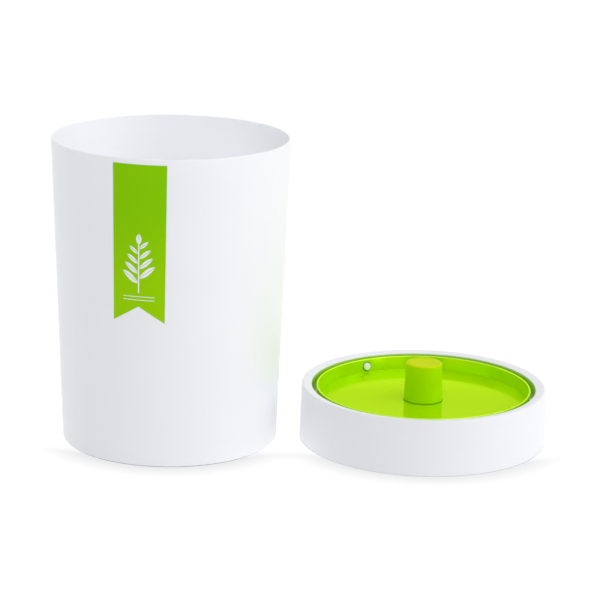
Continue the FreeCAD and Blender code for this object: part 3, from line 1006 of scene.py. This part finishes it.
@dataclass
class SwingDish:
    """The green dish, its knob and the screw that holds the knob."""

    wall: float = 1.6 * MM
    floor: float = 2 * MM
    draft: float = 1.2 * MM
    rim_round: float = 0.72 * MM
    corner_round: float = 0.3 * MM
    base_round: float = 2.8 * MM
    pin_hole: float = 3.08 * MM
    pin_relief: float = 3.9 * MM
    pin_relief_wall: float = 1.2 * MM
    spigot_wall: float = 1.2 * MM
    spigot_height: float = 1.2 * MM
    spigot_inset: float = 2.15 * MM
    screw_hole: float = 1.8 * MM
    knob_draw: float = 1.1 * MM
    knob_wall: float = 2 * MM
    knob_roof: float = 2.6 * MM
    knob_round: float = 1.4 * MM
    knob_foot_round: float = 0.6 * MM
    knob_land: float = 2.3 * MM
    knob_hollow: float = 0.5 * MM
    knob_hollow_steps: int = 6
    knob_facets: int = 128
    screw_head_height: float = 2.2 * MM
    screw_head_round: float = 0.9 * MM
    screw_radius: float = 1.5 * MM
    screw_facets: int = 48
    cross_length: float = 3.6 * MM
    cross_width: float = 0.8 * MM
    cross_depth: float = 1.1 * MM

    def __post_init__(self) -> None:
        """Take the main sizes from the frame."""
        low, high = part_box("swing_dish")
        self.centre = Vector(((low.x + high.x) / 2, (low.y + high.y) / 2, 0.0))
        self.radius = (high.x - low.x) / 2
        self.under = low.z
        self.rim = high.z
        self.tray = low.z + self.floor
        knob_low, knob_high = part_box("knob")
        self.knob_radius = (knob_high.x - knob_low.x) / 2
        self.knob_foot = knob_low.z
        self.knob_top = knob_high.z
        screw_low, screw_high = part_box("knob_screw")
        self.screw_head_radius = (screw_high.x - screw_low.x) / 2
        self.screw_foot = screw_low.z
        self.screw_tip = screw_high.z

    @property
    def inner_face(self) -> float:
        """Radius within which the dish's surface faces its tray."""
        return self.radius - self.wall / 2

    def build_dish(self, finish: GlossGreen, lid: RingLid) -> None:
        """Turn the dish, drill its pin holes and dress it.

        Args:
            finish: its plastic.
            lid: the ring whose pins go through its wall.
        """
        base = self.radius - self.draft
        spigot = self.knob_radius - self.spigot_inset
        dish = turn([
            Corner(self.screw_hole, self.under),
            Corner(base, self.under, self.base_round),
            Corner(self.radius, self.rim, self.rim_round),
            Corner(self.radius - self.wall, self.rim, self.rim_round),
            Corner(base - self.wall, self.tray, self.corner_round),
            Corner(spigot, self.tray),
            Corner(spigot, self.tray + self.spigot_height),
            Corner(spigot - self.spigot_wall, self.tray + self.spigot_height),
            Corner(spigot - self.spigot_wall, self.tray),
            Corner(self.screw_hole, self.tray),
        ], closed=True)
        bmesh.ops.translate(dish, verts=dish.verts[:], vec=self.centre)
        piece = make_piece(dish, "dish_shell", finish.material(), Body.DISH, "swing_dish")
        relief = self.radius - self.pin_relief_wall
        for radius, reach in ((self.pin_hole, 2 * self.radius), (self.pin_relief, relief)):
            carve(piece, rod(radius, -reach, reach, lid.along_pivot()))

    def build_knob(self, finish: GlossGreen) -> None:
        """Turn the hollow knob with its dished top and dress it.

        Args:
            finish: its plastic.
        """
        top = self.knob_top
        top_radius = self.knob_radius - self.knob_draw
        land = top_radius - self.knob_land
        steps = self.knob_hollow_steps
        hollow = [
            Corner(land * (1 - step / steps), top - self.knob_hollow * (1 - (1 - step / steps) ** 2))
            for step in range(steps + 1)
        ]
        knob = turn([
            Corner(0.0, top - self.knob_roof),
            Corner(top_radius - self.knob_wall, top - self.knob_roof),
            Corner(self.knob_radius - self.knob_wall, self.knob_foot),
            Corner(self.knob_radius, self.knob_foot, self.knob_foot_round),
            Corner(top_radius, top, self.knob_round),
            *hollow,
        ], closed=False, steps=self.knob_facets)
        bmesh.ops.translate(knob, verts=knob.verts[:], vec=self.centre)
        make_piece(knob, "knob_cap", finish.material(), Body.DISH, "knob")

    def build_screw(self, finish: ZincPlate) -> None:
        """Turn the pan-head screw, cut its cross and dress it.

        Args:
            finish: its plating.
        """
        shoulder = self.screw_foot + self.screw_head_height
        screw = turn([
            Corner(0.0, self.screw_foot),
            Corner(self.screw_head_radius, self.screw_foot, self.screw_head_round),
            Corner(self.screw_head_radius, shoulder),
            Corner(self.screw_radius, shoulder),
            Corner(self.screw_radius, self.screw_tip),
            Corner(0.0, self.screw_tip),
        ], closed=False, steps=self.screw_facets)
        bmesh.ops.translate(screw, verts=screw.verts[:], vec=self.centre)
        piece = make_piece(screw, "knob_fixing", finish.material(), Body.DISH, "knob_screw")
        place = Matrix.Translation(self.centre + Vector((0, 0, self.screw_foot)))
        for length, width in ((self.cross_length, self.cross_width), (self.cross_width, self.cross_length)):
            slot = bmesh.new()
            shape = Matrix.Diagonal((length, width, 2 * self.cross_depth, 1.0))
            bmesh.ops.create_cube(slot, size=1.0, matrix=place @ shape)
            carve(piece, slot)


@dataclass(frozen=True)
class Lamp:
    """One broad distant light: where it comes from, how strong and how soft it is."""

    name: str
    azimuth: float
    elevation: float
    strength: float
    softness: float

    def build(self) -> None:
        """Add the light to the scene."""
        data = bpy.data.lights.new(self.name, "SUN")
        data.energy = self.strength
        data.angle = math.radians(self.softness)
        light = bpy.data.objects.new(self.name, data)
        bpy.context.scene.collection.objects.link(light)
        azimuth = math.radians(self.azimuth)
        elevation = math.radians(self.elevation)
        towards = Vector((math.cos(elevation) * math.cos(azimuth), math.cos(elevation) * math.sin(azimuth),
                          math.sin(elevation)))
        light.rotation_euler = towards.to_track_quat("Z", "Y").to_euler()


@dataclass(frozen=True)
class Spot:
    """One narrow lamp: where it hangs, what it is aimed at, its power and its cone."""

    name: str
    place: tuple[float, float, float]
    aim: tuple[float, float, float]
    power: float
    cone: float
    radius: float = 50 * MM
    edge: float = 0.3

    def build(self) -> None:
        """Add the lamp to the scene."""
        data = bpy.data.lights.new(self.name, "SPOT")
        data.energy = self.power
        data.spot_size = math.radians(self.cone)
        data.spot_blend = self.edge
        data.shadow_soft_size = self.radius
        light = bpy.data.objects.new(self.name, data)
        bpy.context.scene.collection.objects.link(light)
        light.location = self.place
        light.rotation_euler = (Vector(self.place) - Vector(self.aim)).to_track_quat("Z", "Y").to_euler()


@dataclass
class Studio:
    """Pale floor, white surroundings, soft lamps and the camera."""

    lid_centre: tuple[float, float]
    lid_radius: float
    floor_half: float = 8.0
    floor_colour: Colour = (0.3, 0.3, 0.3, 1.0)
    floor_seen: Colour = (0.1, 0.1, 0.1, 1.0)
    floor_glow: Colour = (0.68, 0.68, 0.68, 1.0)
    # Painted pool of light: brighter glow between bin and lid.
    floor_glow_between: Colour = (0.92, 0.92, 0.92, 1.0)
    # Painted shadow colours: a soft one round the pieces and a dark one under the lid.
    floor_shade: Colour = (0.46, 0.46, 0.49, 1.0)
    floor_bright: Colour = (1.0, 1.0, 1.0, 1.0)
    floor_painted_dark: Colour = (0.02, 0.03, 0.01, 1.0)
    floor_lift: float = 0.97
    floor_roughness: float = 0.9
    glow_limits: Limits = (0.0, 0.45)
    shade_reach: float = 36 * MM
    shade_middle: float = 20 * MM
    shade_beside: float = 48 * MM
    shade_before: float = 115 * MM
    sky: float = 0.62
    lens: float = 140.48
    sensor: float = 36.0
    camera_place: tuple[float, float, float] = (0.10173, -1.7755, 0.59015)
    pitch: float = 15.09
    roll: float = 1.157
    lamps: tuple[Lamp, ...] = (
        Lamp("key_right", -32.0, 35.0, 1.0, 70.0),
        Lamp("rim_right", 20.0, 18.0, 0.3, 50.0),
        Lamp("rim_left", 155.0, 18.0, 0.24, 50.0),
        Lamp("back", 110.0, 42.0, 0.22, 60.0),
    )
    spots: tuple[Spot, ...] = (
        Spot("into_bin_from_left", (-0.35, -0.75, 1.25), (0.04, 0.06, 0.2), 34.0, 5.4),
        Spot("into_bin_from_right", (0.45, -0.75, 1.25), (-0.05, 0.05, 0.19), 25.0, 5.0),
    )

    def build_floor(self) -> None:
        """Lay the floor: its glow lights the pieces, more between bin and lid, and it reads white round
        painted shadows and a painted dark patch under the lid.
        """
        mesh = bmesh.new()
        bmesh.ops.create_grid(mesh, x_segments=1, y_segments=1, size=self.floor_half)
        data = bpy.data.meshes.new("floor")
        mesh.to_mesh(data)
        mesh.free()
        floor = bpy.data.objects.new("floor", data)
        bpy.context.scene.collection.objects.link(floor)
        material, graph = new_material("studio_floor")
        seen = graph.seen()
        place = graph.place()
        across, along, _ = graph.parts(place)
        past_lid = graph.reach(place, self.lid_centre) > self.lid_radius
        beside = (1.0 - abs(along - self.shade_middle).step(self.shade_beside, self.shade_before)) * past_lid
        # Painted shadow: the seen floor dims towards floor_shade where the openness finds a piece near,
        # except in a band beside the pieces.
        clear = graph.openness(self.shade_reach)
        shadow = graph.blend(clear.most(beside), self.floor_shade, self.floor_bright)
        # Painted pool of light: the floor glows brighter between bin and lid, lighting their facing sides.
        between = beside * (across > 0.0) * (across < self.lid_centre[0])
        glow = graph.blend(between, self.floor_glow, self.floor_glow_between)
        light = graph.blend(seen, glow, shadow)
        graph.plastic(
            Base_Color=graph.blend(seen, self.floor_colour, self.floor_seen),
            Roughness=self.floor_roughness,
            Specular_IOR_Level=0.0,
            # Painted dark patch: where the openness is nearly shut, as under the lid, the floor turns dark.
            Emission_Color=graph.blend(clear.step(*self.glow_limits).most(beside), self.floor_painted_dark, light),
            Emission_Strength=self.floor_lift,
        )
        data.materials.append(material)

    def build_world(self) -> None:
        """White where it is seen or mirrored, a softer level where it only lights."""
        world = bpy.data.worlds.new("studio")
        bpy.context.scene.world = world
        world.use_nodes = True
        graph = Graph(world.node_tree)
        seen = graph.seen()
        light = graph.node("ShaderNodeBackground", None,
                           {"Color": (1.0, 1.0, 1.0, 1.0), "Strength": self.sky + (1 - self.sky) * seen})
        graph.node("ShaderNodeOutputWorld", None, {"Surface": light.outputs[0]})

    def build_camera(self) -> None:
        """Stand the camera where the photograph was taken from."""
        data = bpy.data.cameras.new("camera")
        data.lens = self.lens
        data.sensor_width = self.sensor
        camera = bpy.data.objects.new("camera", data)
        bpy.context.scene.collection.objects.link(camera)
        tilt = Matrix.Rotation(LEVEL_TILT - math.radians(self.pitch), 4, "X")
        twist = Matrix.Rotation(math.radians(self.roll), 4, "Z")
        camera.matrix_world = Matrix.Translation(self.camera_place) @ tilt @ twist
        bpy.context.scene.camera = camera

    def build(self) -> None:
        """Set the whole stage."""
        bpy.context.scene.view_settings.view_transform = "Standard"
        self.build_floor()
        self.build_world()
        for lamp in (*self.lamps, *self.spots):
            lamp.build()
        self.build_camera()


def main() -> None:
    """Build every piece in order, then the studio."""
    logging.basicConfig(level=logging.INFO, format="%(name)s: %(message)s")
    bucket = Bucket()
    lid = RingLid()
    dish = SwingDish()
    centre = (dish.centre.x, dish.centre.y)
    bucket.build_shell(MouldedWhite("bin_white", BIN_WHITE, BIN_PALE, translucence=0.2))
    bucket.build_label(PrintedFilm("label_film", bucket.label_width, bucket.label_height, bucket.label_notch,
                                   LABEL_INK, LABEL_INK_SHADE, LABEL_BARE))
    lid.build_ring(MouldedWhite("lid_white", LID_WHITE, LID_PALE, Grain.EVEN, crevice_shade=LID_GAP_SHADE,
                                crevice_centre=centre, crevice_radius=lid.inner_face))
    lid.build_pins(MouldedWhite("pin_white", PIN_WHITE, BIN_WHITE, Grain.EVEN))
    dish.build_dish(GlossGreen("dish_green", DISH_GREEN, DISH_SHADE, DISH_TINT, centre, DISH_RIM_HIGHLIGHT, dish.rim,
                               crevice_radius=dish.inner_face), lid)
    dish.build_knob(GlossGreen("knob_green", KNOB_GREEN, KNOB_SHADE, KNOB_TINT, centre, KNOB_TOP_HIGHLIGHT,
                               dish.knob_top - dish.knob_hollow, roughness=0.22, lustre=0.09))
    dish.build_screw(ZincPlate("screw_steel", centre))
    Studio(centre, lid.skirt_base).build()


if __name__ == "__main__":
    main()
